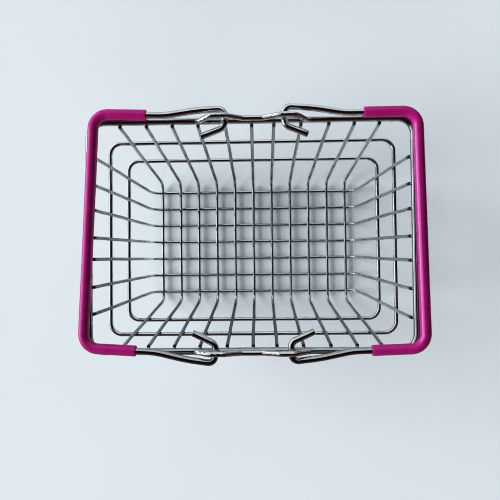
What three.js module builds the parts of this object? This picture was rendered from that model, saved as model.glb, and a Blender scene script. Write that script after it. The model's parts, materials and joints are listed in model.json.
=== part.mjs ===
// Small wire shopping basket: a welded wire tub with two folding bail handles.
//
// The tub is a heavy rim wire, two hoops outside the walls and eighteen U-shaped wires:
// eleven cross wires bent up into the long walls and seven long wires bent up into the end
// walls. A bent bracket wire on top of each long side of the rim makes two arched eyes. Each
// handle is one wire whose ends run through a pair of eyes and hook back on the inside, and it
// carries a plastic grip sleeve.
//
// Millimetres. +X runs along the basket, +Y towards its back, +Z up. The origin is the middle
// of the underside, on the surface the basket stands on. The handles lie folded down.
import * as THREE from "three";

const { degToRad, lerp } = THREE.MathUtils;

// ---- driving dimensions ------------------------------------------------------------------
// Wire radii end in _R. Each _STEP is the turn in degrees between sections round a bend, and
// each _SIDES is the number of sides of a wire's section.
const WELD_GAP = 0.1; // modelling gap where two wires are welded
const BEND_STEP = 16; // for long wires, brackets and handles

// Rim wire, measured centre to centre.
const RIM_LENGTH = 186.5; // along X
const RIM_WIDTH = 132; // along Y
const RIM_HEIGHT = 87; // centre above the standing surface
const RIM_R = 2;
const RIM_CORNER_R = 9;
const RIM_STEP = 18;
const RIM_SIDES = 12;

// Hoops round the outside of the walls.
const UPPER_HOOP_Z = 62.3;
const LOWER_HOOP_Z = 36.2;
const HOOP_R = 1.25;
const HOOP_CORNER_R = 7;
const HOOP_STEP = 22.5;
const HOOP_SIDES = 8;

// Mesh: the cross and long wires.
const MESH_R = 1;
const MESH_SIDES = 8;
const MESH_SECTION_R = MESH_R / Math.cos(Math.PI / MESH_SIDES); // flats at the wire's radius
const RIM_CLEARANCE = 0.12; // between a wall wire and the rim wire
const HOOP_CLEARANCE = 0.06; // between a wall wire and a hoop
const WIRE_TOP = RIM_HEIGHT + 0.4; // height where the wires end

// The two sets of U-shaped wires. `floorHalf` is from the basket's middle to a wire's floor
// corner. `rimStart` and `rimEnd` are where each wire's two ends meet the rim, spread by hand.
// `place` turns a position along the wire, one across the set and a height into a point.
const LONG_SET = {
  name: "long_wire_",
  rimHalf: RIM_LENGTH / 2,
  floorHalf: 73.7,
  floorZ: MESH_R, // long wires lie on the standing surface
  floorPitch: 12,
  bendR: 8,
  stepDeg: BEND_STEP,
  rimStart: [-44.4, -29, -13, -0.6, 15.4, 29.9, 45.9], // left end, Y
  rimEnd: [-47.7, -31.3, -15.3, -1.6, 14, 28.2, 43.6], // right end, Y
  place: (along, across, z) => new THREE.Vector3(along, across, z),
};
const CROSS_SET = {
  name: "cross_wire_",
  rimHalf: RIM_WIDTH / 2,
  floorHalf: 42.75,
  floorZ: LONG_SET.floorZ + 2 * MESH_R + WELD_GAP, // cross wires lie on the long wires
  floorPitch: 13.2,
  bendR: 6.2,
  stepDeg: 25,
  // front end, X
  rimStart: [-73.8, -59.2, -44.3, -29.6, -14.1, 0.7, 14.2, 29.3, 44.8, 59.6, 73.5],
  // back end, X
  rimEnd: [-75.2, -59.8, -44.8, -29.9, -14.1, 1.1, 13.8, 29.3, 45.3, 59.8, 74.1],
  place: (along, across, z) => new THREE.Vector3(across, along, z),
};

// Pivot brackets. `middle` is the bracket's middle along X; the other values are how far its
// flat middle, crests and ends stand outside the rim's centre line.
const BACK_BRACKET = { middle: 1.7, flatOut: 0.4, crestOut: 0.5, endOut: -1 };
const FRONT_BRACKET = { middle: 0.3, flatOut: 0.5, crestOut: 0.2, endOut: 0 };
const BRACKET_R = 1.6;
const BRACKET_SIDES = 10;
const BRACKET_BEND_R = 4;
const BRACKET_CREST = 9.9; // arch centre above the rim's centre
// Distances from the bracket's middle, along X.
const BRACKET_FOOT = 6; // arches rise from here ...
const BRACKET_ARCH_IN = 16;
const BRACKET_ARCH_OUT = 23.5;
const BRACKET_TOE = 30.8; // ... and come back down here
const BRACKET_END = 32.6;

// Handles. `pivot` is where the pivot axis crosses the middle of the basket, `side` is the X
// direction of the hand bar and `yawDeg` is how far the handle lies off square.
const HANDLES = [
  { name: "left", side: -1, pivot: [-17.2, -0.3], yawDeg: -2.75 },
  { name: "right", side: 1, pivot: [20.8, 0.6], yawDeg: 1.1 },
];
const PIVOT_ABOVE_RIM = 5.2; // pivot axis above the rim's centre
const HANDLE_R = 1.9;
const HANDLE_SIDES = 12;
// Handle points: [distance from the pivot axis, distance from the handle's middle].
const TAIL_END = [13.3, 55.4];
const TAIL_CORNER = [0, 61.1];
const EYE_CORNER = [0, 71.9];
const LEG_BULGE = [16, 70.4];
const LEG_KNEE = [34, 66.95];
const HAND_CORNER = [74.9, 66.3];
const TAIL_BEND_R = 4.6;
const EYE_BEND_R = 3.9;
const LEG_BULGE_BEND_R = 60;
const LEG_KNEE_BEND_R = 40;
const HAND_CORNER_R = 8.5;

const GRIP_R = 3.1;
const GRIP_BORE_R = 2.02;
const GRIP_START = 44.8; // sleeve ends, from the pivot axis

// ---- wire runs ---------------------------------------------------------------------------
// A corner is { point, radius }; the two ends of an open run need no radius.
// A station is { point, tangent }.

// Stations round one corner, given the corner points before and after it.
function bend({ point, radius }, before, after, stepDeg) {
  const arriving = point.clone().sub(before).normalize();
  const leaving = after.clone().sub(point).normalize();
  const turn = arriving.angleTo(leaving);
  const inward = leaving.clone().addScaledVector(arriving, -arriving.dot(leaving)).normalize();
  const centre = point
    .clone()
    .addScaledVector(arriving, -radius * Math.tan(turn / 2))
    .addScaledVector(inward, radius);
  const steps = Math.max(1, Math.round(turn / degToRad(stepDeg)));
  return Array.from({ length: steps + 1 }, (_, i) => {
    const angle = (turn * i) / steps;
    const cos = Math.cos(angle);
    const sin = Math.sin(angle);
    return {
      point: centre
        .clone()
        .addScaledVector(inward, -radius * cos)
        .addScaledVector(arriving, radius * sin),
      tangent: arriving.clone().multiplyScalar(cos).addScaledVector(inward, sin),
    };
  });
}

// Stations of a run through corners, each rounded to its own radius.
function rounded(corners, stepDeg, closed = false) {
  const count = corners.length;
  return corners.flatMap((corner, i) => {
    const before = corners[(i + count - 1) % count].point;
    const after = corners[(i + 1) % count].point;
    if (closed || (i > 0 && i < count - 1)) return bend(corner, before, after, stepDeg);
    const point = corner.point.clone();
    const tangent = i === 0 ? after.clone().sub(point) : point.clone().sub(before);
    return [{ point, tangent: tangent.normalize() }];
  });
}

// A run of wire as a curve with one sample at each station. `up` is the direction of the
// cross-section's first axis at station `upAt`; it is carried along the run without twist,
// then every section is rolled about its tangent by `roll`.
class WireRun extends THREE.Curve {
  constructor(stations, options = {}) {
    super();
    const { closed = false, up = new THREE.Vector3(0, 0, 1), upAt = 0, roll = 0 } = options;
    this.stations = stations;
    this.spans = closed ? stations.length : stations.length - 1;
    this.normals = new Array(stations.length);
    const setNormal = (i, direction) => {
      const { tangent } = stations[i];
      const along = direction.dot(tangent);
      this.normals[i] = direction.clone().addScaledVector(tangent, -along).normalize();
    };
    const carry = (from, to) => {
      const turn = new THREE.Quaternion().setFromUnitVectors(
        stations[from].tangent,
        stations[to].tangent,
      );
      setNormal(to, this.normals[from].clone().applyQuaternion(turn));
    };
    setNormal(upAt, up);
    for (let i = upAt + 1; i < stations.length; i++) carry(i - 1, i);
    for (let i = upAt - 1; i >= 0; i--) carry(i + 1, i);
    this.normals.forEach((normal, i) => normal.applyAxisAngle(stations[i].tangent, roll));
  }

  indexAt(fraction) {
    return Math.round(fraction * this.spans) % this.stations.length;
  }

  getPointAt(fraction, target = new THREE.Vector3()) {
    return target.copy(this.stations[this.indexAt(fraction)].point);
  }

  // Replaces the frames three would work out, so that sections follow `normals`.
  computeFrenetFrames(segments) {
    const indices = Array.from({ length: segments + 1 }, (_, i) => this.indexAt(i / segments));
    const tangents = indices.map((i) => this.stations[i].tangent.clone());
    const normals = indices.map((i) => this.normals[i].clone());
    const binormals = tangents.map((tangent, i) => tangent.clone().cross(normals[i]));
    return { tangents, normals, binormals };
  }
}

// Regular polygon cross-section with a flat facing its first axis.
function section(radius, sides) {
  return Array.from({ length: sides }, (_, i) => {
    const angle = ((i + 0.5) / sides) * Math.PI * 2;
    return new THREE.Vector2(radius * Math.cos(angle), radius * Math.sin(angle));
  });
}

// Open wire, or a sleeve when it has a bore.
function rod(run, radius, sides, boreRadius = 0) {
  const shape = new THREE.Shape(section(radius, sides));
  if (boreRadius) shape.holes.push(new THREE.Path(section(boreRadius, sides)));
  return new THREE.ExtrudeGeometry(shape, {
    steps: run.spans,
    extrudePath: run,
    curveSegments: 1,
  });
}

// Closed level rectangle of wire with rounded corners.
function ring({ halfX, halfY, z, cornerR, stepDeg, wireR, sides }) {
  const corners = [
    [halfX, -halfY],
    [halfX, halfY],
    [-halfX, halfY],
    [-halfX, -halfY],
  ].map(([x, y]) => ({ point: new THREE.Vector3(x, y, z), radius: cornerR }));
  const run = new WireRun(rounded(corners, stepDeg, true), {
    closed: true,
    roll: Math.PI / sides, // half a side, to bring a flat on top
  });
  return new THREE.TubeGeometry(run, run.spans, wireR, sides, true);
}

// ---- materials ---------------------------------------------------------------------------
const material = (color, { roughness, metalness }) =>
  new THREE.MeshStandardMaterial({ color, roughness, metalness });
const chrome = material(0xd9dcdf, { roughness: 0.12, metalness: 1 });
const chromeDark = material(0xc6cace, { roughness: 0.18, metalness: 1 });
const magenta = material(0xc02583, { roughness: 0.3, metalness: 0 });

const basket = new THREE.Group();
const tub = new THREE.Group();
basket.add(tub);

function piece(parent, name, geometry, surface) {
  const mesh = new THREE.Mesh(geometry, surface);
  mesh.name = name;
  parent.add(mesh);
}

// ---- walls -------------------------------------------------------------------------------
// Each wall wire stands inside the rim and leans in towards the floor.

function leanAngle({ floorHalf, floorZ }, topHalf) {
  return Math.atan2(topHalf - floorHalf, RIM_HEIGHT - floorZ);
}

// Half the distance between a set's walls at rim height. The lean and the top depend on each
// other, so they are settled by repetition.
function wallTop(set) {
  const inset = RIM_R + MESH_SECTION_R + RIM_CLEARANCE;
  let topHalf = set.rimHalf - inset;
  for (let i = 0; i < 20; i++) topHalf = set.rimHalf - inset / Math.cos(leanAngle(set, topHalf));
  return topHalf;
}

// How far up from a set's floor to the rim's centre a height is, as a fraction.
function riseTo(z, { floorZ }) {
  return (z - floorZ) / (RIM_HEIGHT - floorZ);
}

function wallAt(z, set) {
  return lerp(set.floorHalf, wallTop(set), riseTo(z, set));
}

// ---- rim and hoops -----------------------------------------------------------------------
function rim() {
  const geometry = ring({
    halfX: RIM_LENGTH / 2,
    halfY: RIM_WIDTH / 2,
    z: RIM_HEIGHT,
    cornerR: RIM_CORNER_R,
    stepDeg: RIM_STEP,
    wireR: RIM_R,
    sides: RIM_SIDES,
  });
  piece(tub, "rim_wire", geometry, chrome);
}

function hoop(name, z) {
  const gap = MESH_SECTION_R + HOOP_R + HOOP_CLEARANCE;
  const half = (set) => wallAt(z, set) + gap / Math.cos(leanAngle(set, wallTop(set)));
  const geometry = ring({
    halfX: half(LONG_SET),
    halfY: half(CROSS_SET),
    z,
    cornerR: HOOP_CORNER_R,
    stepDeg: HOOP_STEP,
    wireR: HOOP_R,
    sides: HOOP_SIDES,
  });
  piece(tub, name, geometry, chrome);
}

// ---- cross and long wires ----------------------------------------------------------------
function meshWires(set) {
  const { floorHalf, floorZ, rimStart, rimEnd, place, bendR: radius } = set;
  const topHalf = wallAt(WIRE_TOP, set);
  const rise = riseTo(WIRE_TOP, set);
  rimStart.forEach((start, i) => {
    const across = (i - (rimStart.length - 1) / 2) * set.floorPitch;
    const corners = [
      { point: place(-topHalf, lerp(across, start, rise), WIRE_TOP) },
      { point: place(-floorHalf, across, floorZ), radius },
      { point: place(floorHalf, across, floorZ), radius },
      { point: place(topHalf, lerp(across, rimEnd[i], rise), WIRE_TOP) },
    ];
    const stations = rounded(corners, set.stepDeg);
    // The section is set upright at the first station past the floor's middle.
    const run = new WireRun(stations, { upAt: stations.length / 2 });
    const name = set.name + String(i + 1).padStart(2, "0");
    piece(tub, name, rod(run, MESH_SECTION_R, MESH_SIDES), chromeDark);
  });
}

// ---- pivot brackets ----------------------------------------------------------------------
// One bent wire on top of a long side of the rim: low in the middle and at both ends, arched
// over each handle's pivot. `outward` is the Y direction out of the basket.
function bracket(name, outward, { middle, flatOut, crestOut, endOut }) {
  const low = RIM_HEIGHT + RIM_R + BRACKET_R + WELD_GAP;
  const high = RIM_HEIGHT + BRACKET_CREST;
  const half = [
    [BRACKET_FOOT, flatOut, low],
    [BRACKET_ARCH_IN, crestOut, high],
    [BRACKET_ARCH_OUT, crestOut, high],
    [BRACKET_TOE, endOut, low],
    [BRACKET_END, endOut, low],
  ];
  const corner = (side) => ([x, out, z]) => ({
    point: new THREE.Vector3(middle + side * x, outward * (RIM_WIDTH / 2 + out), z),
    radius: BRACKET_BEND_R,
  });
  const corners = [...half.toReversed().map(corner(-1)), ...half.map(corner(1))];
  const run = new WireRun(rounded(corners, BEND_STEP), { up: new THREE.Vector3(0, 1, 0) });
  piece(tub, name, rod(run, BRACKET_R, BRACKET_SIDES), chrome);
}

// ---- handles -----------------------------------------------------------------------------
// A run through the back half's [point, bend radius] list, then through its mirror image in
// front. It lies flat, with the pivot axis along Y and the hand bar towards `side`.
function mirroredRun(backHalf, side) {
  const corner = (mirror) => ([[reach, out], radius]) => ({
    point: new THREE.Vector3(side * reach, mirror * out, 0),
    radius,
  });
  const corners = [...backHalf.map(corner(1)), ...backHalf.toReversed().map(corner(-1))];
  return new WireRun(rounded(corners, BEND_STEP));
}

function handleWire(side) {
  const backHalf = [
    [TAIL_END],
    [TAIL_CORNER, TAIL_BEND_R],
    [EYE_CORNER, EYE_BEND_R],
    [LEG_BULGE, LEG_BULGE_BEND_R],
    [LEG_KNEE, LEG_KNEE_BEND_R],
    [HAND_CORNER, HAND_CORNER_R],
  ];
  return rod(mirroredRun(backHalf, side), HANDLE_R, HANDLE_SIDES);
}

// The sleeve starts part way along the straight from the knee to the hand corner.
function grip(side) {
  const along = (GRIP_START - LEG_KNEE[0]) / (HAND_CORNER[0] - LEG_KNEE[0]);
  const start = [GRIP_START, lerp(LEG_KNEE[1], HAND_CORNER[1], along)];
  const run = mirroredRun([[start], [HAND_CORNER, HAND_CORNER_R]], side);
  return rod(run, GRIP_R, HANDLE_SIDES, GRIP_BORE_R);
}

function handle({ name, side, pivot: [x, y], yawDeg }) {
  const group = new THREE.Group();
  group.position.set(x, y, RIM_HEIGHT + PIVOT_ABOVE_RIM);
  group.rotation.z = degToRad(yawDeg);
  basket.add(group);
  piece(group, name + "_handle_wire", handleWire(side), chrome);
  piece(group, name + "_grip", grip(side), magenta);
}

// ---- assembly ----------------------------------------------------------------------------
rim();
hoop("upper_hoop", UPPER_HOOP_Z);
hoop("lower_hoop", LOWER_HOOP_Z);
meshWires(CROSS_SET);
meshWires(LONG_SET);
bracket("back_pivot_bracket", 1, BACK_BRACKET);
bracket("front_pivot_bracket", -1, FRONT_BRACKET);
HANDLES.forEach(handle);

export default basket;
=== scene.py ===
import json
import math

import bpy
from mathutils import Matrix, Quaternion, Vector, noise

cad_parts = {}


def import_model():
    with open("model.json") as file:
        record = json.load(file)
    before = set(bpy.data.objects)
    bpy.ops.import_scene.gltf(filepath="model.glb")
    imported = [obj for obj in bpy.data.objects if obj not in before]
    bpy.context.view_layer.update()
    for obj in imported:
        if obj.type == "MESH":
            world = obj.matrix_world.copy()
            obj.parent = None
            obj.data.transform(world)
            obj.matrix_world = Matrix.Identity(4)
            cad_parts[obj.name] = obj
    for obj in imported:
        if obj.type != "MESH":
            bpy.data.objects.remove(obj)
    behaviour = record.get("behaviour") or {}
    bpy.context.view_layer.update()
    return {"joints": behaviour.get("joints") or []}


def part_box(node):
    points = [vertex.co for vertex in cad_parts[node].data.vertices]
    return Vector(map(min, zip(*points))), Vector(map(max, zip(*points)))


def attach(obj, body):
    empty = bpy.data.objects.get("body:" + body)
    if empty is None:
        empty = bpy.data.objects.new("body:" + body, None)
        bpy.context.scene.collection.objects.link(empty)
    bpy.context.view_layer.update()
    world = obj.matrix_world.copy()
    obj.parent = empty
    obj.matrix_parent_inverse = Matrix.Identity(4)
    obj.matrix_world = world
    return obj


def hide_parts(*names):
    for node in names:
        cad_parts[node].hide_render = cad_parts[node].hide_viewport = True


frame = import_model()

MM = 0.001


def V(x, y, z):
    return Vector((x, y, z))


def clamp(x, a=0.0, b=1.0):
    return max(a, min(b, x))


def smooth(x, a, b):
    t = clamp((x - a) / (b - a))
    return t * t * (3 - 2 * t)


# ---------------------------------------------------------------- dimensions, from the frame
def node_box(name):
    lo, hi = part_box(name)
    return lo / MM, hi / MM


MESH_R = 1.0
HOOP_R = 1.25
RIM_R = 2.0
BRACKET_R = 1.6
HANDLE_R = 1.9
GRIP_R = 3.1
GRIP_BORE_R = 2.02

_lo, _hi = node_box("rim_wire")
RIM_X = (_hi.x - _lo.x) / 2 - RIM_R
RIM_Y = (_hi.y - _lo.y) / 2 - RIM_R
RIM_X = round(RIM_X * 4) / 4
RIM_Y = round(RIM_Y * 4) / 4
RIM_Z = round((_hi.z + _lo.z) / 2, 2)
RIM_CORNER_R = 9.0
joint = {j["name"]: j for j in frame["joints"]}


# ---------------------------------------------------------------- paths
def rounded(corners, closed=False, step=6.0):
    """Stations (point, tangent) through (point, radius) corners."""
    n = len(corners)
    out = []
    for i in range(n):
        p, r = corners[i]
        if not closed and i in (0, n - 1):
            a = corners[0 if i == 0 else n - 2][0]
            b = corners[1 if i == 0 else n - 1][0]
            out.append((p.copy(), (b - a).normalized()))
            continue
        d1 = (p - corners[i - 1][0]).normalized()
        d2 = (corners[(i + 1) % n][0] - p).normalized()
        turn = d1.angle(d2)
        inward = (d2 - d1 * d1.dot(d2)).normalized()
        start = p - d1 * (r * math.tan(turn / 2))
        centre = start + inward * r
        steps = max(1, round(math.degrees(turn) / step))
        for k in range(steps + 1):
            a = turn * k / steps
            out.append(
                (
                    centre - inward * (r * math.cos(a)) + d1 * (r * math.sin(a)),
                    d1 * math.cos(a) + inward * math.sin(a),
                )
            )
    return out


def refine(stations, closed=False, longest=4.0):
    """Adds stations along the straights, so that they can carry a slight hand-made wave."""
    out = []
    n = len(stations)
    for i in range(n):
        p, t = stations[i]
        out.append((p, t))
        if i == n - 1 and not closed:
            break
        q, u = stations[(i + 1) % n]
        gap = (q - p).length
        if gap > longest and t.dot(u) > 0.9999:
            cuts = int(gap / longest)
            for k in range(1, cuts + 1):
                out.append((p.lerp(q, k / (cuts + 1)), t))
    return out


def frames(stations, closed=False):
    """A twist-free normal at each station."""
    t0 = stations[0][1]
    ref = V(0, 0, 1) if abs(t0.z) < 0.9 else V(1, 0, 0)
    nrm = (ref - t0 * ref.dot(t0)).normalized()
    out = [nrm]
    for i in range(1, len(stations)):
        q = stations[i - 1][1].rotation_difference(stations[i][1])
        nrm = q @ nrm
        t = stations[i][1]
        nrm = (nrm - t * nrm.dot(t)).normalized()
        out.append(nrm)
    if closed:
        q = stations[-1][1].rotation_difference(t0)
        back = q @ out[-1]
        back = (back - t0 * back.dot(t0)).normalized()
        twist = math.atan2(back.cross(out[0]).dot(t0), back.dot(out[0]))
        n = len(stations)
        out = [
            Quaternion(stations[i][1], twist * i / n) @ out[i] for i in range(n)
        ]
    return out


# ---------------------------------------------------------------- meshes
class Build:
    """Vertices, faces and along/around coordinates gathered for one piece."""

    def __init__(self):
        self.v, self.f, self.uv, self.tip = [], [], [], []

    def ring_strip(self, rings, closed, us, sides, tips=None):
        base = len(self.v)
        for i, ring in enumerate(rings):
            self.v.extend(ring)
            self.tip.extend([tips[i] if tips else 0.0] * len(ring))
        n = len(rings)
        for i in range(n if closed else n - 1):
            a, b = base + i * sides, base + ((i + 1) % n) * sides
            u0 = us[i]
            u1 = us[i + 1] if i + 1 < len(us) else us[-1]
            for k in range(sides):
                k2 = (k + 1) % sides
                self.f.append((a + k, a + k2, b + k2, b + k))
                self.uv.append(
                    (
                        (u0, k / sides),
                        (u0, (k + 1) / sides),
                        (u1, (k + 1) / sides),
                        (u1, k / sides),
                    )
                )
        return base, base + (n - 1) * sides

    def cap(self, start, sides, forward, u):
        """Closes a ring with a fan of quads to a centre point."""
        ring = list(range(start, start + sides))
        centre = len(self.v)
        c = Vector((0, 0, 0))
        for i in ring:
            c += self.v[i]
        self.v.append(c / sides)
        self.tip.append(self.tip[start])
        for k in range(sides):
            a, b = ring[k], ring[(k + 1) % sides]
            self.f.append((a, b, centre) if forward else (b, a, centre))
            self.uv.append(((u, 0.1), (u, 0.2), (u, 0.15)))

    def object(self, name, material, smooth_angle=38.0):
        me = bpy.data.meshes.new(name)
        me.from_pydata([tuple(p * MM) for p in self.v], [], self.f)
        layer = me.uv_layers.new(name="UVMap")
        i = 0
        for poly, uvs in zip(me.polygons, self.uv):
            for k, li in enumerate(poly.loop_indices):
                layer.data[li].uv = uvs[k]
        self.tip.extend([0.0] * (len(self.v) - len(self.tip)))
        tip = me.attributes.new("tip", "FLOAT", "POINT")
        tip.data.foreach_set("value", self.tip)
        me.validate()
        me.update()
        me.shade_smooth()
        me.set_sharp_from_angle(angle=math.radians(smooth_angle))
        o = bpy.data.objects.new(name, me)
        bpy.context.scene.collection.objects.link(o)
        me.materials.append(material)
        return o


def circle(p, t, n, r, sides):
    b = t.cross(n)
    return [
        p + n * (r * math.cos(2 * math.pi * k / sides)) + b * (r * math.sin(2 * math.pi * k / sides))
        for k in range(sides)
    ]


def wire(build, stations, radius, sides, closed=False, seed=0.0, wave=0.03, bevel=0.22,
         lump=None, longest=4.0, tip=(0.0, 0.0), film_and_painted_light=None):
    """Sweeps a round wire. Open ends are sheared flat with a small rounded edge. `wave` is how
    far the wire wanders from its path, in millimetres; it fades to nothing at the ends. `lump`
    is (height, per-millimetre frequency, where) of a hammered skin. `tip` is (strength, length)
    of a dark mark at the cut ends, a heat tint and painted shade where the ends meet other parts.
    The last argument maps a point to painted shade along the wire, and to a painted highlight
    where it is negative."""
    st = refine(stations, closed, longest)
    nrm = frames(st, closed)
    n = len(st)
    s = [0.0]
    for i in range(1, n):
        s.append(s[-1] + (st[i][0] - st[i - 1][0]).length)
    total = s[-1] + ((st[0][0] - st[-1][0]).length if closed else 0)
    rings, us = [], []
    for i, ((p, t), m) in enumerate(zip(st, nrm)):
        q = p.copy()
        if wave:
            fade = 1.0
            if not closed:
                fade = smooth(s[i], 0, 12) * smooth(total - s[i], 0, 12)
            k = noise.noise_vector(p * 0.05 + V(seed, seed * 1.7, -seed))
            q += V(k.x, k.y, k.z * 0.15) * (wave * 2 * fade)
        ring = circle(q, t, m, radius, sides)
        if lump:
            height, freq, where = lump
            h = height * where(p)
            if h:
                ring = [
                    c + (c - q).normalized() * (h * (noise.noise(c * freq + V(seed, 0, 0)) + 0.5 * noise.noise(c * freq * 2.3 + V(0, seed, 0))))
                    for c in ring
                ]
        rings.append(ring)
        us.append(s[i] / 10)
    us.append(total / 10)
    # painted shade along the wire, and a painted highlight where the value is negative, kept in the tip attribute
    tips = [film_and_painted_light(p) if film_and_painted_light else 0.0 for p, t in st]
    # dark cut ends: a heat tint and painted shade
    if tip[0] and not closed:
        tips = [
            max(tips[i], tip[0] * (1 - smooth(min(s[i], total - s[i]), tip[1] * 0.4, tip[1])))
            for i in range(n)
        ]
    if not closed:
        # rounded edge at each sheared end
        def end(idx, sign):
            p, t = st[idx]
            m = nrm[idx]
            c = sum(rings[idx], V(0, 0, 0)) / sides
            out = []
            for a in (0.0, 30.0, 60.0, 90.0):
                ra = math.radians(a)
                out.append(
                    circle(
                        c - t * sign * bevel * (1 - math.sin(ra)),
                        t,
                        m,
                        radius - bevel * (1 - math.cos(ra)),
                        sides,
                    )
                )
            return out

        head = end(0, -1)[::-1]
        tail = end(n - 1, 1)
        rings = head + rings[1:-1] + tail
        us = [us[0]] * 4 + us[1 : n - 1] + [us[n - 1]] * 5
        tips = [tips[0]] * 4 + tips[1 : n - 1] + [tips[n - 1]] * 4
    first, last = build.ring_strip(rings, closed, us, sides, tips)
    if not closed:
        build.cap(first, sides, False, us[0])
        build.cap(last, sides, True, us[-1])
    return s, st


def sleeve(build, stations, outer, bore, sides, seed):
    """A soft tube pushed over a wire: it follows the bends, and its cut ends are rounded."""
    st = refine(stations, False, 2.0)
    nrm = frames(st)
    s = [0.0]
    for i in range(1, len(st)):
        s.append(s[-1] + (st[i][0] - st[i - 1][0]).length)
    total = s[-1]
    rings, us = [], []
    edge = 0.35
    # outside, from start to end
    prof = []
    for a in (0, 30, 60, 90):
        ra = math.radians(a)
        prof.append((edge * (1 - math.sin(ra)), outer - edge * (1 - math.cos(ra))))

    def at(i, r, shift=0.0, wavy=True):
        p, t = st[i]
        m = nrm[i]
        b = t.cross(m)
        ring = []
        for k in range(sides):
            a = 2 * math.pi * k / sides
            d = m * math.cos(a) + b * math.sin(a)
            rr = r
            if wavy:
                q = p * 0.09 + d * 0.35 + V(seed, 0, seed)
                rr += 0.045 * noise.noise(q) + 0.02 * noise.noise(q * 3.1)
            ring.append(p + t * shift + d * rr)
        return ring

    bi, bo = bore, outer
    n = len(st)
    ends = 0.16
    # start end: bore edge, end face, outer rounded edge
    rings.append(at(0, bi, 1.5, False)); us.append(0.15)
    rings.append(at(0, bi, ends, False)); us.append(0.02)
    rings.append(at(0, bi + ends, 0.0, False)); us.append(0.0)
    rings.append(at(0, bo - edge, 0.0, False)); us.append(0.0)
    for a in (25, 50, 75, 90):
        ra = math.radians(a)
        rings.append(at(0, bo - edge * (1 - math.sin(ra)), edge * (1 - math.cos(ra)), a == 90))
        us.append(0.02)
    for i in range(1, n - 1):
        rings.append(at(i, bo)); us.append(s[i] / 10)
    for a in (90, 75, 50, 25):
        ra = math.radians(a)
        rings.append(at(n - 1, bo - edge * (1 - math.sin(ra)), -edge * (1 - math.cos(ra)), a == 90))
        us.append(total / 10)
    rings.append(at(n - 1, bo - edge, 0.0, False)); us.append(total / 10)
    rings.append(at(n - 1, bi + ends, 0.0, False)); us.append(total / 10)
    rings.append(at(n - 1, bi, -ends, False)); us.append(total / 10)
    rings.append(at(n - 1, bi, -1.5, False)); us.append(total / 10 - 0.15)
    # back through the bore, so that the sleeve is one closed skin
    for i in range(n - 2, 0, -1):
        if s[i] > 2.5 and total - s[i] > 2.5:
            rings.append(at(i, bi, 0.0, False)); us.append(s[i] / 10)
    us.append(us[0])
    # 1 on the legs, 0 on the hand bar: the legs are matt and the hand bar glossy, and the hand bar's colour carries a
    #                                   painted shade
    legs = [smooth(abs(sum(r, V(0, 0, 0)).y) / sides, 58.5, 64.5) for r in rings]
    build.ring_strip(rings, True, us, sides, legs)


def nugget(build, centre, axes, radii, seed, rings=7, sides=12):
    """A weld bead: a flattened drop with an uneven skin."""
    base = len(build.v)
    ax, ay, az = [a.normalized() for a in axes]
    rx, ry, rz = radii
    top = len(build.v)
    build.v.append(centre + az * rz)
    for i in range(1, rings):
        th = math.pi * i / rings
        for k in range(sides):
            ph = 2 * math.pi * k / sides
            d = V(math.sin(th) * math.cos(ph), math.sin(th) * math.sin(ph), math.cos(th))
            w = 1 + 0.16 * noise.noise(d * 1.6 + V(seed, seed * 0.7, -seed))
            build.v.append(centre + ax * (d.x * rx * w) + ay * (d.y * ry * w) + az * (d.z * rz * w))
    bottom = len(build.v)
    build.v.append(centre - az * rz)
    def idx(i, k):
        return base + 1 + (i - 1) * sides + (k % sides)
    for k in range(sides):
        build.f.append((top, idx(1, k), idx(1, k + 1))); build.uv.append(((0, 0), (0.1, 0), (0.1, 0.1)))
        build.f.append((bottom, idx(rings - 1, k + 1), idx(rings - 1, k))); build.uv.append(((0, 0), (0.1, 0), (0.1, 0.1)))
    for i in range(1, rings - 1):
        for k in range(sides):
            build.f.append((idx(i, k), idx(i + 1, k), idx(i + 1, k + 1), idx(i, k + 1)))
            build.uv.append(((0, 0), (0.1, 0), (0.1, 0.1), (0, 0.1)))


# ---------------------------------------------------------------- materials
def new_material(name):
    m = bpy.data.materials.new(name)
    m.use_nodes = True
    nt = m.node_tree
    for n in list(nt.nodes):
        nt.nodes.remove(n)
    out = nt.nodes.new("ShaderNodeOutputMaterial")
    bsdf = nt.nodes.new("ShaderNodeBsdfPrincipled")
    nt.links.new(bsdf.outputs["BSDF"], out.inputs["Surface"])
    return m, nt, bsdf


def N(nt, kind, **props):
    n = nt.nodes.new(kind)
    for k, v in props.items():
        setattr(n, k, v)
    return n


def L(nt, a, b):
    nt.links.new(a, b)


def scaled_uv(nt, sx, sy, seed):
    tc = N(nt, "ShaderNodeTexCoord")
    mp = N(nt, "ShaderNodeMapping")
    mp.inputs["Scale"].default_value = (sx, sy, 1)
    mp.inputs["Location"].default_value = (seed, seed * 0.37, 0)
    L(nt, tc.outputs["UV"], mp.inputs["Vector"])
    return mp.outputs["Vector"]


def object_coords(nt, scale):
    tc = N(nt, "ShaderNodeTexCoord")
    mp = N(nt, "ShaderNodeMapping")
    mp.inputs["Scale"].default_value = (scale, scale, scale)
    L(nt, tc.outputs["Object"], mp.inputs["Vector"])
    return mp.outputs["Vector"]


def noise_tex(nt, vector, scale, detail=4.0, rough=0.55):
    n = N(nt, "ShaderNodeTexNoise")
    n.inputs["Scale"].default_value = scale
    n.inputs["Detail"].default_value = detail
    n.inputs["Roughness"].default_value = rough
    L(nt, vector, n.inputs["Vector"])
    return n.outputs["Fac"]


def ramp(nt, fac, stops):
    r = N(nt, "ShaderNodeValToRGB")
    e = r.color_ramp.elements
    while len(e) > 1:
        e.remove(e[-1])
    e[0].position, e[0].color = stops[0][0], (*stops[0][1], 1)
    for pos, col in stops[1:]:
        k = e.new(pos)
        k.color = (*col, 1)
    L(nt, fac, r.inputs["Fac"])
    return r.outputs["Color"]


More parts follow.
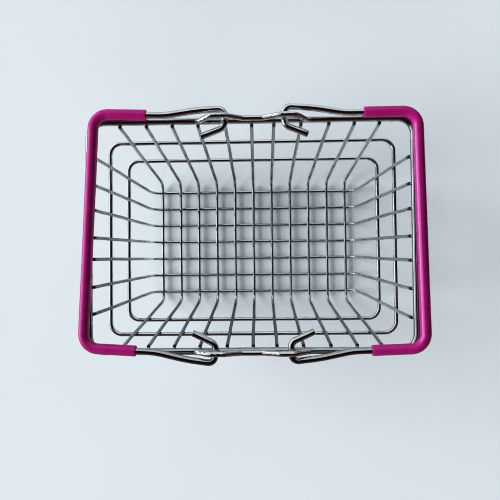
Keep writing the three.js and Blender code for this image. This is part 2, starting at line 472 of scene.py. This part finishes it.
def maths(nt, op, a, b=None, clampit=False):
    m = N(nt, "ShaderNodeMath", operation=op, use_clamp=clampit)
    for i, x in enumerate((a, b)):
        if x is None:
            continue
        if isinstance(x, (int, float)):
            m.inputs[i].default_value = x
        else:
            L(nt, x, m.inputs[i])
    return m.outputs[0]


def chrome_material(name, seed, base, rough, wear=0.0, bump=0.35, edge=1.0, wobble=0.35):
    """Bright chrome plate over drawn wire: faint draw lines along the wire, an uneven polish,
    pin-head pits and, where `wear` is set, duller rubbed patches. The tip attribute darkens the
    colour (a heat tint and painted shade at cut ends, painted shade along the wires) and, where
    negative, brightens it as a painted highlight."""
    m, nt, b = new_material(name)
    b.inputs["Metallic"].default_value = 1.0
    # draw lines: noise stretched along the wire
    lines = noise_tex(nt, scaled_uv(nt, 0.5, 26.0, seed), 3.0, 5.0, 0.6)
    polish = noise_tex(nt, object_coords(nt, 1.0), 160.0, 3.0, 0.5)
    fine = noise_tex(nt, object_coords(nt, 1.0), 1500.0, 3.0, 0.55)
    pits = N(nt, "ShaderNodeTexVoronoi")
    pits.inputs["Scale"].default_value = 900.0
    L(nt, object_coords(nt, 1.0), pits.inputs["Vector"])
    pit = ramp(nt, pits.outputs["Distance"], [(0.0, (1, 1, 1)), (0.09, (0, 0, 0))])
    # roughness
    r1 = maths(nt, "MULTIPLY", lines, 0.07)
    r2 = maths(nt, "MULTIPLY", polish, 0.07)
    r3 = maths(nt, "MULTIPLY", pit, 0.18)
    total = maths(nt, "ADD", maths(nt, "ADD", r1, r2), maths(nt, "ADD", r3, rough - 0.05))
    if wear:
        film_and_painted_light = ramp(nt, noise_tex(nt, object_coords(nt, 1.0), 90.0, 4.0, 0.65),
                    [(0.48, (0, 0, 0)), (0.68, (1, 1, 1))])
        total = maths(nt, "ADD", total, maths(nt, "MULTIPLY", film_and_painted_light, wear))
    L(nt, total, b.inputs["Roughness"])
    # colour: slightly cooler and darker where the polish is thin
    tone = ramp(nt, polish, [(0.25, tuple(c * 0.90 for c in base)), (0.7, base)])
    mix = N(nt, "ShaderNodeMix", data_type="RGBA", blend_type="MULTIPLY")
    mix.inputs["Factor"].default_value = 0.35
    L(nt, tone, mix.inputs["A"])
    L(nt, ramp(nt, lines, [(0.3, (0.82, 0.83, 0.85)), (0.7, (1, 1, 1))]), mix.inputs["B"])
    # the tip attribute: a heat tint and painted shade at cut ends, painted shade along the wires; with the factor
    # unclamped, negative values brighten the colour as a painted highlight
    at = N(nt, "ShaderNodeAttribute", attribute_name="tip")
    heat_tint_and_painted_light = N(nt, "ShaderNodeMix", data_type="RGBA", blend_type="MIX")
    L(nt, at.outputs["Fac"], heat_tint_and_painted_light.inputs["Factor"])
    L(nt, mix.outputs["Result"], heat_tint_and_painted_light.inputs["A"])
    heat_tint_and_painted_light.inputs["B"].default_value = (0.030, 0.032, 0.036, 1)
    heat_tint_and_painted_light.clamp_factor = False
    L(nt, heat_tint_and_painted_light.outputs["Result"], b.inputs["Base Color"])
    # painted highlight: where the tip attribute is negative the glancing-angle tint goes white; elsewhere it keeps
    # the duller edge tint
    rim = N(nt, "ShaderNodeMix", data_type="RGBA", blend_type="MIX")
    L(nt, maths(nt, "MULTIPLY", at.outputs["Fac"], -2.0, True), rim.inputs["Factor"])
    rim.inputs["A"].default_value = (edge, edge, edge, 1)
    rim.inputs["B"].default_value = (1, 1, 1, 1)
    L(nt, rim.outputs["Result"], b.inputs["Specular Tint"])
    # surface
    bp = N(nt, "ShaderNodeBump")
    bp.inputs["Strength"].default_value = bump
    bp.inputs["Distance"].default_value = 0.00003
    h = maths(nt, "ADD", maths(nt, "MULTIPLY", lines, 0.8), maths(nt, "MULTIPLY", fine, 0.25))
    h = maths(nt, "SUBTRACT", h, maths(nt, "MULTIPLY", pit, 0.5))
    L(nt, h, bp.inputs["Height"])
    wob = N(nt, "ShaderNodeBump")
    wob.inputs["Strength"].default_value = wobble
    wob.inputs["Distance"].default_value = 0.00012
    L(nt, noise_tex(nt, object_coords(nt, 1.0), 210.0, 1.0, 0.4), wob.inputs["Height"])
    L(nt, bp.outputs["Normal"], wob.inputs["Normal"])
    L(nt, wob.outputs["Normal"], b.inputs["Normal"])
    return m


def vinyl_material(name, seed, gloss, bar_painted_shade):
    """Glossy soft vinyl tube: a pigmented skin with faint extrusion lines along its length,
    an orange-peel surface, small scuffs, a pearly pink gloss and a little light inside."""
    m, nt, b = new_material(name)
    out = [n for n in nt.nodes if n.bl_idname == "ShaderNodeOutputMaterial"][0]
    pearl = N(nt, "ShaderNodeBsdfAnisotropic")
    pearl.inputs["Color"].default_value = (1.0, 0.26, 0.72, 1)
    both = N(nt, "ShaderNodeMixShader")
    leg = N(nt, "ShaderNodeAttribute", attribute_name="tip").outputs["Fac"]

    def along(bar, matt):
        """One value on the hand bar, another on the legs."""
        return maths(nt, "ADD", maths(nt, "MULTIPLY", leg, matt - bar), bar)

    L(nt, along(gloss, 0.05), both.inputs[0])
    L(nt, b.outputs["BSDF"], both.inputs[1])
    L(nt, pearl.outputs[0], both.inputs[2])
    L(nt, both.outputs[0], out.inputs["Surface"])
    lines = noise_tex(nt, scaled_uv(nt, 0.22, 14.0, seed), 2.6, 5.0, 0.6)
    cloud = noise_tex(nt, object_coords(nt, 1.0), 70.0, 4.0, 0.55)
    peel = noise_tex(nt, object_coords(nt, 1.0), 900.0, 2.0, 0.5)
    scuff = ramp(nt, noise_tex(nt, scaled_uv(nt, 1.2, 5.0, seed + 3), 4.0, 8.0, 0.72),
                 [(0.60, (0, 0, 0)), (0.74, (1, 1, 1))])
    tones = ((0.2, (0.325, 0.0075, 0.140)), (0.55, (0.370, 0.0100, 0.165)), (0.85, (0.42, 0.014, 0.195)))
    # painted shade: the hand bar's colour is the legs' tone scaled down (A), more on the right copy
    tone = N(nt, "ShaderNodeMix", data_type="RGBA", blend_type="MIX")
    L(nt, leg, tone.inputs["Factor"])
    for key, k in (("A", bar_painted_shade), ("B", 1.04)):
        L(nt, ramp(nt, cloud, [(at, tuple(c * k for c in rgb)) for at, rgb in tones]), tone.inputs[key])
    col = tone.outputs["Result"]
    mix = N(nt, "ShaderNodeMix", data_type="RGBA", blend_type="MULTIPLY")
    mix.inputs["Factor"].default_value = 0.5
    L(nt, col, mix.inputs["A"])
    L(nt, ramp(nt, lines, [(0.25, (0.80, 0.76, 0.80)), (0.7, (1, 1, 1))]), mix.inputs["B"])
    dusty = N(nt, "ShaderNodeMix", data_type="RGBA", blend_type="MIX")
    L(nt, maths(nt, "MULTIPLY", scuff, 0.10), dusty.inputs["Factor"])
    L(nt, mix.outputs["Result"], dusty.inputs["A"])
    dusty.inputs["B"].default_value = (0.55, 0.20, 0.42, 1)
    L(nt, dusty.outputs["Result"], b.inputs["Base Color"])
    r = maths(nt, "ADD", maths(nt, "MULTIPLY", cloud, 0.10), maths(nt, "MULTIPLY", scuff, 0.16))
    r = maths(nt, "ADD", r, maths(nt, "MULTIPLY", lines, 0.06))
    L(nt, maths(nt, "ADD", r, 0.17), b.inputs["Roughness"])
    L(nt, maths(nt, "ADD", r, 0.20), pearl.inputs["Roughness"])
    b.inputs["IOR"].default_value = 1.53
    L(nt, along(0.52, 0.22), b.inputs["Specular IOR Level"])
    L(nt, along(0.12, 0.0), b.inputs["Coat Weight"])
    b.inputs["Coat Roughness"].default_value = 0.16
    b.inputs["Subsurface Weight"].default_value = 0.06
    b.inputs["Subsurface Radius"].default_value = (1.0, 0.2, 0.5)
    b.inputs["Subsurface Scale"].default_value = 0.0006
    bp = N(nt, "ShaderNodeBump")
    bp.inputs["Strength"].default_value = 0.30
    bp.inputs["Distance"].default_value = 0.00006
    h = maths(nt, "ADD", maths(nt, "MULTIPLY", lines, 0.7), maths(nt, "MULTIPLY", peel, 0.30))
    L(nt, h, bp.inputs["Height"])
    L(nt, bp.outputs["Normal"], b.inputs["Normal"])
    L(nt, bp.outputs["Normal"], pearl.inputs["Normal"])
    return m


CHROME = (0.66, 0.675, 0.685)
chrome_rim = chrome_material("chrome_rim", 1.0, CHROME, 0.055)
chrome_hoop = chrome_material("chrome_hoop", 3.0, (0.68, 0.70, 0.715), 0.03, wear=0.03, bump=0.35, edge=0.7, wobble=0.22)
chrome_mesh = chrome_material("chrome_mesh", 4.0, (0.755, 0.795, 0.81), 0.03, wear=0.04, bump=0.35, edge=0.45, wobble=0.18)
chrome_handle = chrome_material("chrome_handle", 7.0, CHROME, 0.05, wear=0.05)
chrome_weld = chrome_material("chrome_weld", 9.0, (0.40, 0.41, 0.42), 0.20, wear=0.15, bump=0.9)
# two copies of one vinyl: the right one has a stronger pearl, a painted highlight, and a darker hand bar, a painted
# shade
vinyl = {
    "left": vinyl_material("vinyl_magenta", 2.0, 0.10, 0.95),
    "right": vinyl_material("vinyl_magenta_right_painted_light", 5.0, 0.32, 0.88),
}


# ---------------------------------------------------------------- rim and hoops
def rectangle(hx, hy, z, r, step=6.0):
    return rounded(
        [(V(hx, -hy, z), r), (V(hx, hy, z), r), (V(-hx, hy, z), r), (V(-hx, -hy, z), r)],
        closed=True,
        step=step,
    )


made = []


def place(build, name, body, nodes, material, tol=0.75, angle=38.0):
    o = build.object(name, material, angle)
    if nodes:
        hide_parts(*nodes)
        # the smooth piece has to fill the box of the CAD nodes it stands for
        lo = Vector([min(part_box(n)[0][i] for n in nodes) for i in range(3)])
        hi = Vector([max(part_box(n)[1][i] for n in nodes) for i in range(3)])
        for i in range(3):
            a = min(v.co[i] for v in o.data.vertices)
            b = max(v.co[i] for v in o.data.vertices)
            if abs(a - lo[i]) > tol * MM or abs(b - hi[i]) > tol * MM:
                raise SystemExit(
                    f"{name} doesn't match the frame on axis {i}: {a:.5f} {b:.5f} against {lo[i]:.5f} {hi[i]:.5f}"
                )
    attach(o, body)
    made.append(o)
    return o




def rim_painted_shade(p):
    """Painted shade: the hoop is darker along the front and the right."""
    return max(0.38 * smooth(-p.y, 40.0, 64.0), 0.42 * smooth(p.x, 80.0, 92.0))


b = Build()
wire(b, rectangle(RIM_X, RIM_Y, RIM_Z, RIM_CORNER_R, 5.0), RIM_R, 40, closed=True, seed=0.3, wave=0.05, film_and_painted_light=rim_painted_shade)
place(b, "rim_hoop", "basket", ["rim_wire"], chrome_rim)

HOOPS = {}
for node, name, seed in (("upper_hoop", "upper_hoop_wire", 1.1), ("lower_hoop", "lower_hoop_wire", 2.2)):
    lo, hi = node_box(node)
    hx, hy, z = (hi.x - lo.x) / 2 - HOOP_R * 0.99, (hi.y - lo.y) / 2 - HOOP_R * 0.99, (hi.z + lo.z) / 2
    HOOPS[node] = (hx, hy, z)
    b = Build()
    wire(b, rectangle(hx, hy, z, 7.0, 5.0), HOOP_R, 28, closed=True, seed=seed, wave=0.06)
    place(b, name, "basket", [node], chrome_hoop)

# ---------------------------------------------------------------- grid wires
LONG_Z = MESH_R
CROSS_Z = LONG_Z + 2 * MESH_R + 0.1
TOP_Z = RIM_Z + 0.4
SINK = 0.42  # the welds draw each wire's top this far into the rim
WALL = {}


def floor_painted_shade(p):
    """Painted shade: the floor's wires are a little darker towards the right."""
    return (0.08 + 0.20 * clamp((p.x + 60.0) / 80.0)) * (1 - smooth(p.z, 3.5, 7.0))


def cross_painted_light(p):
    """Painted shade on the walls' wires, darker than on the floor; high on the back wall the value goes negative, a
    painted highlight.
    """
    if p.y < 0:
        film_and_painted_light = 0.46 - 0.10 * clamp((abs(p.x) - 20.0) / 40.0)
    else:
        film_and_painted_light = 0.38 - (0.90 + 0.15 * abs(p.x) / 80.0) * clamp((p.z - 18.0) / 55.0)
    return film_and_painted_light * smooth(p.z, 5.0, 13.0) + floor_painted_shade(p)


def long_painted_light(p):
    """Painted shade on the left wall, more towards the front; a painted highlight on the right wall, and a painted
    glint at the floor bends.
    """
    high = clamp((p.z - 15.0) / 60.0)
    if p.x > 0:
        film_and_painted_light = -0.55 + 0.10 * high
    else:
        film_and_painted_light = 0.26 + high * (-0.06 - 0.38 * p.y / 45.0)
    bend = smooth(abs(p.x), 68.0, 71.0) * (1 - smooth(p.z, 2.5, 9.0))
    return film_and_painted_light * smooth(p.z, 5.0, 13.0) + floor_painted_shade(p) * (1 - bend) - 0.55 * bend


def wall_wire(floor_a, top_a, floor_b, tops_b, z0, along_x, bend_r):
    """A U wire; `a` is the coordinate along the wire's floor run, `b` the other one. `tops_b`
    are the values of `b` where the wire's two ends meet the rim, negative side first."""

    def pt(a, b, z):
        return V(a, b, z) if along_x else V(b, a, z)

    def point(side, f):
        # position on the wall at fraction f of its height; near the top it leans to the rim
        a = floor_a + (top_a - floor_a) * f
        a += SINK * smooth(f, 0.80, 1.0)
        top_b = tops_b[0 if side < 0 else 1]
        return pt(side * a, floor_b + (top_b - floor_b) * f, z0 + (TOP_Z - z0) * f)

    st = []
    corners = [
        (point(-1, 1.0), 0),
        (point(-1, 0.93), 40),
        (point(-1, 0.80), 60),
        (pt(-floor_a, floor_b, z0), bend_r),
        (pt(floor_a, floor_b, z0), bend_r),
        (point(1, 0.80), 60),
        (point(1, 0.93), 40),
        (point(1, 1.0), 0),
    ]
    return rounded(corners, step=6.0), point


# where each wire meets the rim: the wires are spread and welded by hand
CROSS_RIM = (
    (-73.8, -59.2, -44.3, -29.6, -14.1, 0.7, 14.2, 29.3, 44.8, 59.6, 73.5),
    (-75.2, -59.8, -44.8, -29.9, -14.1, 1.1, 13.8, 29.3, 45.3, 59.8, 74.1),
)
LONG_RIM = (
    (-44.4, -29, -13, -0.6, 15.4, 29.9, 45.9),
    (-47.7, -31.3, -15.3, -1.6, 14, 28.2, 43.6),
)
contacts_rim, contacts_hoop = [], []
cross_x, long_y = [], []
for i in range(11):
    node = "cross_wire_%02d" % (i + 1)
    lo, hi = node_box(node)
    k = i - 5
    xf = k * 13.2
    s = (TOP_Z - CROSS_Z) / (RIM_Z - CROSS_Z)
    xr = [xf + (ends[i] - xf) * s for ends in CROSS_RIM]
    yr = (hi.y - lo.y) / 2 - MESH_R * 0.985
    st, point = wall_wire(42.75, yr, xf, xr, CROSS_Z, False, 6.2)
    cross_x.append(xf)
    b = Build()
    # dark cut ends: a heat tint and painted shade
    wire(b, st, MESH_R, 22, seed=10 + i * 1.37, wave=0.10, bevel=0.18, tip=(0.9, 2.4), film_and_painted_light=cross_painted_light, longest=2.0)
    place(b, "cross_rib_%02d" % (i + 1), "basket", [node], chrome_mesh)
    for side in (-1, 1):
        f = (RIM_Z - CROSS_Z) / (TOP_Z - CROSS_Z)
        p = point(side, f)
        contacts_rim.append((p, V(p.x, side * RIM_Y, RIM_Z)))
        for hx, hy, z in HOOPS.values():
            p = point(side, (z - CROSS_Z) / (TOP_Z - CROSS_Z))
            contacts_hoop.append((p, V(p.x, side * hy, z)))
for j in range(7):
    node = "long_wire_%02d" % (j + 1)
    lo, hi = node_box(node)
    k = j - 3
    yf = k * 12.0
    s = (TOP_Z - LONG_Z) / (RIM_Z - LONG_Z)
    yr = [yf + (ends[j] - yf) * s for ends in LONG_RIM]
    xr = (hi.x - lo.x) / 2 - MESH_R * 0.985
    st, point = wall_wire(73.7, xr, yf, yr, LONG_Z, True, 8.0)
    long_y.append(yf)
    b = Build()
    # dark cut ends: a heat tint and painted shade
    wire(b, st, MESH_R, 22, seed=40 + j * 1.91, wave=0.10, bevel=0.18, tip=(0.9, 2.4), film_and_painted_light=long_painted_light, longest=2.0)
    place(b, "long_rib_%02d" % (j + 1), "basket", [node], chrome_mesh)
    for side in (-1, 1):
        f = (RIM_Z - LONG_Z) / (TOP_Z - LONG_Z)
        p = point(side, f)
        contacts_rim.append((p, V(side * RIM_X, p.y, RIM_Z)))
        for hx, hy, z in HOOPS.values():
            p = point(side, (z - LONG_Z) / (TOP_Z - LONG_Z))
            contacts_hoop.append((p, V(side * hx, p.y, z)))

# ---------------------------------------------------------------- welds
b = Build()
for i, x in enumerate(cross_x):
    for j, y in enumerate(long_y):
        nugget(b, V(x, y, 2.05), (V(1, 0, 0), V(0, 1, 0), V(0, 0, 1)), (0.80, 0.80, 0.50), i * 3.1 + j * 1.3)
place(b, "floor_welds", "basket", [], chrome_weld, angle=80)
b = Build()
for i, (p, q) in enumerate(contacts_hoop):
    d = q - p
    mid = p + d * (MESH_R / (MESH_R + HOOP_R))
    t = V(0, 0, 1)
    side = d.cross(t)
    nugget(b, mid, (side, t, d), (0.80, 0.95, 0.46), 100 + i * 0.77)
place(b, "hoop_welds", "basket", [], chrome_weld, angle=80)
b = Build()
for i, (p, q) in enumerate(contacts_rim):
    d = q - p
    mid = p + d * 0.36
    t = V(0, 0, 1)
    side = d.cross(t)
    nugget(b, mid - t * 0.35, (side, t, d), (1.18, 1.25, 0.75), 300 + i * 0.91)
place(b, "rim_welds", "basket", [], chrome_weld, angle=80)

# ---------------------------------------------------------------- pivot brackets
BRACKETS = {
    "back_pivot_bracket": (1, 1.7, 0.4, 0.5, -1.0),
    "front_pivot_bracket": (-1, 0.3, 0.5, 0.2, 0.0),
}
weld = Build()
for node, (side, mid, flat_out, crest_out, end_out) in BRACKETS.items():
    low, high = RIM_Z + RIM_R + BRACKET_R + 0.1, RIM_Z + 9.9

    def yy(off):
        return side * (RIM_Y + off)

    half = [
        (6.0, yy(flat_out), low),
        (16.0, yy(crest_out), high),
        (23.5, yy(crest_out), high),
        (30.8, yy(end_out), low),
    ]
    corners = [(V(mid - 32.6, yy(end_out), low), 0)]
    corners += [(V(mid - x, y, z), 4.0) for x, y, z in reversed(half)]
    corners += [(V(mid + x, y, z), 4.0) for x, y, z in half]
    corners += [(V(mid + 32.6, yy(end_out), low), 0)]
    b = Build()
    arms = lambda p, c=mid: smooth(abs(p.x - c), 7.0, 12.0)
    # dark cut ends: a heat tint and painted shade
    wire(b, rounded(corners, step=4.0), BRACKET_R, 40, seed=70 + side, wave=0.0, bevel=0.3,
         lump=(0.13, 0.80, arms), longest=0.40, tip=(0.35, 0.8))
    place(b, node.replace("pivot_bracket", "eye_bracket"), "basket", [node], chrome_handle)
    for x, off, rx in ((-3.0, flat_out, 2.3), (3.0, flat_out, 2.3), (-31.6, end_out, 1.5), (31.6, end_out, 1.5)):
        z = RIM_Z + RIM_R + 0.05
        y = side * (RIM_Y + off * 0.55)
        nugget(weld, V(mid + x, y, z), (V(1, 0, 0), V(0, 1, 0), V(0, 0, 1)), (rx, 1.15, 0.62), 500 + x + side * 3)
place(weld, "bracket_welds", "basket", [], chrome_weld, angle=80)

# ---------------------------------------------------------------- handles
for word, side, yaw in (("left", -1, -2.75), ("right", 1, 1.1)):
    j = joint[word + "_handle_hinge"]
    pos = Vector(j["pos_m"]) / MM
    rot = Matrix.Rotation(math.radians(yaw), 4, "Z")

    def at(reach, out):
        return pos + rot @ V(side * reach, out, 0)

    back = [((0, 61.1), 4.6), ((0, 71.9), 3.9), ((16, 70.4), 60), ((34, 66.95), 40), ((74.9, 66.3), 8.5)]
    corners = [(at(13.3, 55.4), 0)]
    corners += [(at(*q), r) for q, r in back]
    corners += [(at(q[0], -q[1]), r) for q, r in reversed(back)]
    corners += [(at(13.3, -55.4), 0)]
    b = Build()
    # painted shade on the front part of each rod, and dark cut ends: a heat tint and painted shade
    wire(b, rounded(corners, step=4.5), HANDLE_R, 40, seed=80 + side, wave=0.0, bevel=0.3, tip=(0.45, 0.5),
         film_and_painted_light=lambda p: 0.34 * smooth(-p.y, 58.0, 64.0))
    place(b, word + "_handle_rod", word + "_handle", [word + "_handle_wire"], chrome_handle)

    f = (44.8 - 34) / (74.9 - 34)
    y0 = 66.95 + (66.3 - 66.95) * f
    corners = [(at(44.8, y0), 0), (at(74.9, 66.3), 8.5), (at(74.9, -66.3), 8.5), (at(44.8, -y0), 0)]
    b = Build()
    sleeve(b, rounded(corners, step=4.0), GRIP_R, GRIP_BORE_R, 48, 90 + side * 5)
    place(b, word + "_grip_sleeve", word + "_handle", [word + "_grip"], vinyl[word], angle=50)


# ---------------------------------------------------------------- floor, light, camera
def floor():
    """A plain pale table with a faint uneven finish. Glossy rays see a painted reflection instead: a darker table,
    brighter where the right and back walls' wires mirror it, and dark brown a little way in front and to the right.
    """
    n, half = 40, 3.0
    verts, faces = [], []
    for i in range(n + 1):
        for k in range(n + 1):
            verts.append((half * (2 * i / n - 1), half * (2 * k / n - 1), -0.00005))
    for i in range(n):
        for k in range(n):
            a = i * (n + 1) + k
            faces.append((a, a + n + 1, a + n + 2, a + 1))
    me = bpy.data.meshes.new("floor")
    me.from_pydata(verts, [], faces)
    me.update()
    o = bpy.data.objects.new("floor", me)
    bpy.context.scene.collection.objects.link(o)
    m, nt, b = new_material("pale_table")
    cloud = noise_tex(nt, object_coords(nt, 1.0), 5.0, 3.0, 0.5)
    pale = ramp(nt, cloud, [(0.3, (0.770, 0.815, 0.838)), (0.7, (0.795, 0.842, 0.865))])
    # painted reflection: glossy rays see the table turn dark brown a little way in front of the basket and to its
    # right, standing in for the dark room and whoever looks down
    geo = N(nt, "ShaderNodeNewGeometry")
    sep = N(nt, "ShaderNodeSeparateXYZ")
    L(nt, geo.outputs["Position"], sep.inputs[0])

    def past(v, a, b2):
        n = N(nt, "ShaderNodeMapRange", interpolation_type="SMOOTHSTEP")
        n.inputs["From Min"].default_value = a
        n.inputs["From Max"].default_value = b2
        L(nt, v, n.inputs["Value"])
        return n.outputs[0]

    far = maths(nt, "MAXIMUM", past(maths(nt, "MULTIPLY", sep.outputs["Y"], -1.0), 0.16, 0.24), past(sep.outputs["X"], 0.19, 0.30))
    lp = N(nt, "ShaderNodeLightPath")
    ends = N(nt, "ShaderNodeMix", data_type="RGBA", blend_type="MIX")
    L(nt, far, ends.inputs["Factor"])
    # painted reflection: where the right and back walls' wires mirror the table, glossy rays see it brighter than the
    # rest
    near = N(nt, "ShaderNodeMix", data_type="RGBA", blend_type="MIX")
    spot = maths(nt, "MAXIMUM", past(sep.outputs["X"], -0.005, 0.030),
                 maths(nt, "MULTIPLY", past(sep.outputs["Y"], -0.030, -0.012),
                       maths(nt, "SUBTRACT", 1.0, past(sep.outputs["Y"], 0.008, 0.022))))
    L(nt, spot, near.inputs["Factor"])
    # painted shade: elsewhere glossy rays see the table darker than the camera does
    L(nt, ramp(nt, cloud, [(0.3, (0.53, 0.55, 0.56)), (0.7, (0.56, 0.58, 0.59))]), near.inputs["A"])
    near.inputs["B"].default_value = (0.93, 0.98, 1.0, 1)
    L(nt, near.outputs["Result"], ends.inputs["A"])
    ends.inputs["B"].default_value = (0.115, 0.078, 0.070, 1)
    seen = N(nt, "ShaderNodeMix", data_type="RGBA", blend_type="MIX")
    L(nt, lp.outputs["Is Glossy Ray"], seen.inputs["Factor"])
    L(nt, pale, seen.inputs["A"])
    L(nt, ends.outputs["Result"], seen.inputs["B"])
    L(nt, seen.outputs["Result"], b.inputs["Base Color"])
    b.inputs["Roughness"].default_value = 0.62
    b.inputs["Specular IOR Level"].default_value = 0.3
    bp = N(nt, "ShaderNodeBump")
    bp.inputs["Strength"].default_value = 0.12
    bp.inputs["Distance"].default_value = 0.0002
    L(nt, noise_tex(nt, object_coords(nt, 1.0), 260.0, 4.0, 0.6), bp.inputs["Height"])
    L(nt, bp.outputs["Normal"], b.inputs["Normal"])
    me.materials.append(m)
    return o


floor()


def world():
    """A room: bright window side on the left, pale wall at the back, dimmer right, and dark
    overhead and in front, where whoever looks down at the basket stands."""
    w = bpy.data.worlds.new("room")
    bpy.context.scene.world = w
    w.use_nodes = True
    nt = w.node_tree
    for n in list(nt.nodes):
        nt.nodes.remove(n)
    out = nt.nodes.new("ShaderNodeOutputWorld")
    bg = nt.nodes.new("ShaderNodeBackground")
    tc = nt.nodes.new("ShaderNodeTexCoord")
    sep = nt.nodes.new("ShaderNodeSeparateXYZ")
    L(nt, tc.outputs["Generated"], sep.inputs[0])
    x, y, z = sep.outputs

    def step(v, a, b):
        n = nt.nodes.new("ShaderNodeMapRange")
        n.interpolation_type = "SMOOTHSTEP"
        n.inputs["From Min"].default_value = a
        n.inputs["From Max"].default_value = b
        L(nt, v, n.inputs["Value"])
        return n.outputs[0]

    def mix(fac, a, b):
        n = nt.nodes.new("ShaderNodeMix")
        n.data_type = "RGBA"
        L(nt, fac, n.inputs["Factor"])
        for key, c in (("A", a), ("B", b)):
            if isinstance(c, tuple):
                n.inputs[key].default_value = (*c, 1)
            else:
                L(nt, c, n.inputs[key])
        return n.outputs["Result"]

    def neg(v):
        return maths(nt, "MULTIPLY", v, -1.0)

    # whoever looks down stands in front: dark brown, darker higher up, and black overhead
    front = mix(step(z, 0.0, 0.45), (0.215, 0.140, 0.125), (0.085, 0.048, 0.040))
    front = mix(step(z, 0.40, 0.85), front, (0.011, 0.005, 0.004))
    room = mix(step(neg(y), 0.06, 0.26), (0.010, 0.010, 0.011), front)
    # pale wall and ceiling at the back
    back = mix(step(x, 0.05, 0.75), (0.84, 0.90, 0.93), (0.22, 0.23, 0.24))
    lp = nt.nodes.new("ShaderNodeLightPath")
    soft = mix(step(x, -0.45, 0.45), (0.66, 0.68, 0.70), (0.36, 0.37, 0.38))
    back = mix(lp.outputs["Is Diffuse Ray"], back, soft)  # it lights little itself
    room = mix(step(y, 0.34, 0.50), room, back)
    # window side on the left
    side = mix(step(z, 0.21, 0.29), (4.00, 4.20, 4.40), (0.84, 0.90, 0.96))
    side = mix(step(z, 0.06, 0.11), (0.80, 0.85, 0.90), side)
    left = maths(nt, "MULTIPLY", step(neg(x), 0.45, 0.66), step(y, -0.50, -0.24))
    room = mix(left, room, side)
    room = mix(lp.outputs["Is Camera Ray"], room, (0.78, 0.81, 0.84))
    L(nt, room, bg.inputs["Color"])
    bg.inputs["Strength"].default_value = 1.0
    L(nt, bg.outputs[0], out.inputs["Surface"])


world()


def area(name, at, towards, size, power, color):
    d = bpy.data.lights.new(name, "AREA")
    d.shape = "RECTANGLE"
    d.size, d.size_y = size
    d.energy = power
    d.color = color
    o = bpy.data.objects.new(name, d)
    bpy.context.scene.collection.objects.link(o)
    o.location = at
    o.rotation_euler = (Vector(towards) - Vector(at)).to_track_quat("-Z", "Y").to_euler()
    o.visible_glossy = False  # the room itself carries the window's reflection
    return o


area("window", (-6.84, 0.30, 4.06), (0, 0, 0.03), (6.6, 3.2), 684.0, (0.905, 0.97, 1.03))
area("window_low", (-6.80, 0.00, 1.30), (0, 0, 0.05), (6.6, 1.4), 58.0, (0.905, 0.97, 1.03))
area("fill", (-0.60, -2.60, 1.50), (0, 0, 0.05), (2.4, 1.6), 32.0, (1.0, 0.975, 0.95))

cam = bpy.data.cameras.new("camera")
cam.sensor_fit = "HORIZONTAL"
cam.sensor_width = 36.0
cam.lens = 36.0 * 545.0 / 500.0
cam.clip_start = 0.01
cam.clip_end = 20
co = bpy.data.objects.new("camera", cam)
bpy.context.scene.collection.objects.link(co)
turn = Matrix.Rotation(-0.01, 4, "Z") @ Matrix.Rotation(0.0268, 4, "Y") @ Matrix.Rotation(0.0263, 4, "X")
co.matrix_world = Matrix.Translation((0.0076545, -0.0168309, 0.3981733)) @ turn
bpy.context.scene.camera = co
vs = bpy.context.scene.view_settings
vs.view_transform = "Standard"
vs.look = "None"
vs.exposure = 0.0
vs.gamma = 1.0
# a crisp lens, and a gentle contrast curve, as a camera would apply
bpy.context.scene.cycles.filter_width = 1.0
vs.use_curve_mapping = True
curve = vs.curve_mapping.curves[3]
for cx, cy in ((0.05, 0.036), (0.18, 0.165), (0.40, 0.405), (0.70, 0.730)):
    curve.points.new(cx, cy)
vs.curve_mapping.update()
